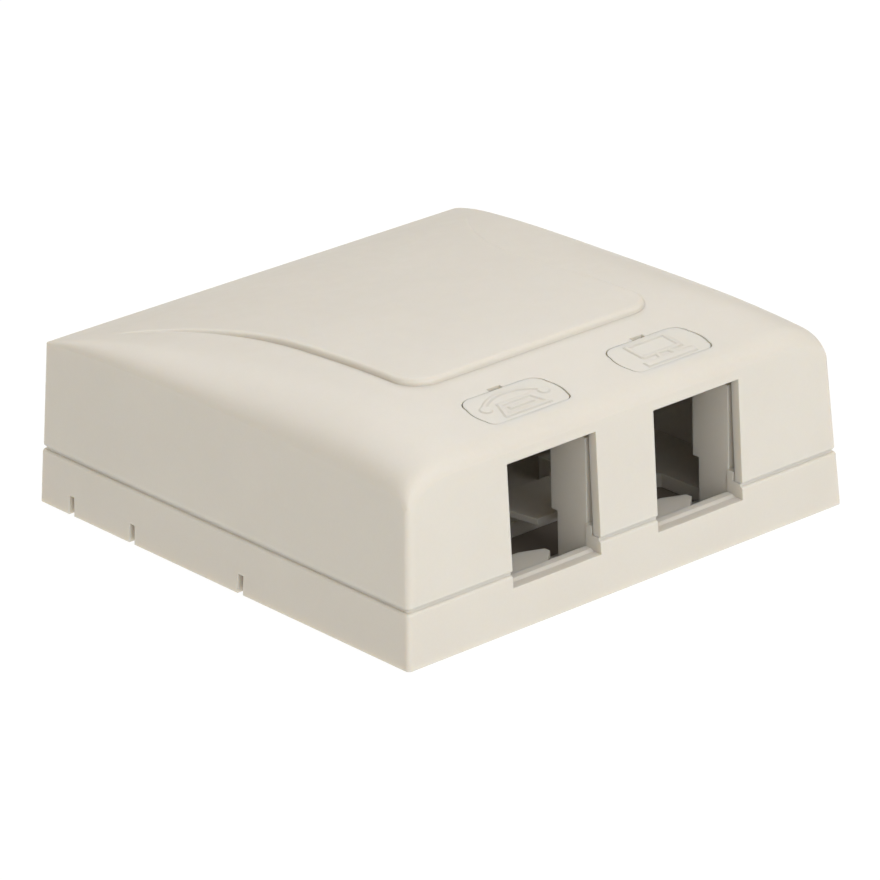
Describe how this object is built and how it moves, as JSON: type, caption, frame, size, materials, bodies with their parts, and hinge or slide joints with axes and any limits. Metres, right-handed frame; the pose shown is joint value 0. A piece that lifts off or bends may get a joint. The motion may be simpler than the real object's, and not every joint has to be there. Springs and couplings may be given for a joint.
{
  "type": "two-port surface-mount wiring box",
  "caption": "Low square wiring box for a wall: shallow base tray with jack holders, push-on domed cover with square jack openings in its front, and pictogram tabs above them.",
  "frame": {"origin": "centre of the base's underside, on the mounting plane", "axes": "+Z away from the mounting surface through the cover, port face towards -Y, +X to the right as the ports are faced"},
  "size_m": [0.074, 0.0742, 0.0282],
  "materials": {
    "base_plastic": "fine moulded grain, ivory",
    "cover_plastic": "fine moulded grain, ivory",
    "tab_plastic": "smooth satin, ivory"
  },
  "bodies": {
    "base": {"base": "base_plastic"},
    "cover": {"cover": "cover_plastic"},
    "telephone_tab": {"telephone_tab": "tab_plastic"},
    "computer_tab": {"computer_tab": "tab_plastic"}
  },
  "joints": [
    {"name": "cover_lift", "type": "slide", "parent": "base", "child": "cover", "axis": [0, 0, 1], "range_m": [0, 0.03]},
    {"name": "telephone_tab_lift", "type": "slide", "parent": "cover", "child": "telephone_tab", "axis": [0, 0, 1], "range_m": [0, 0.006]},
    {"name": "computer_tab_lift", "type": "slide", "parent": "cover", "child": "computer_tab", "axis": [0, 0, 1], "range_m": [0, 0.006]}
  ]
}
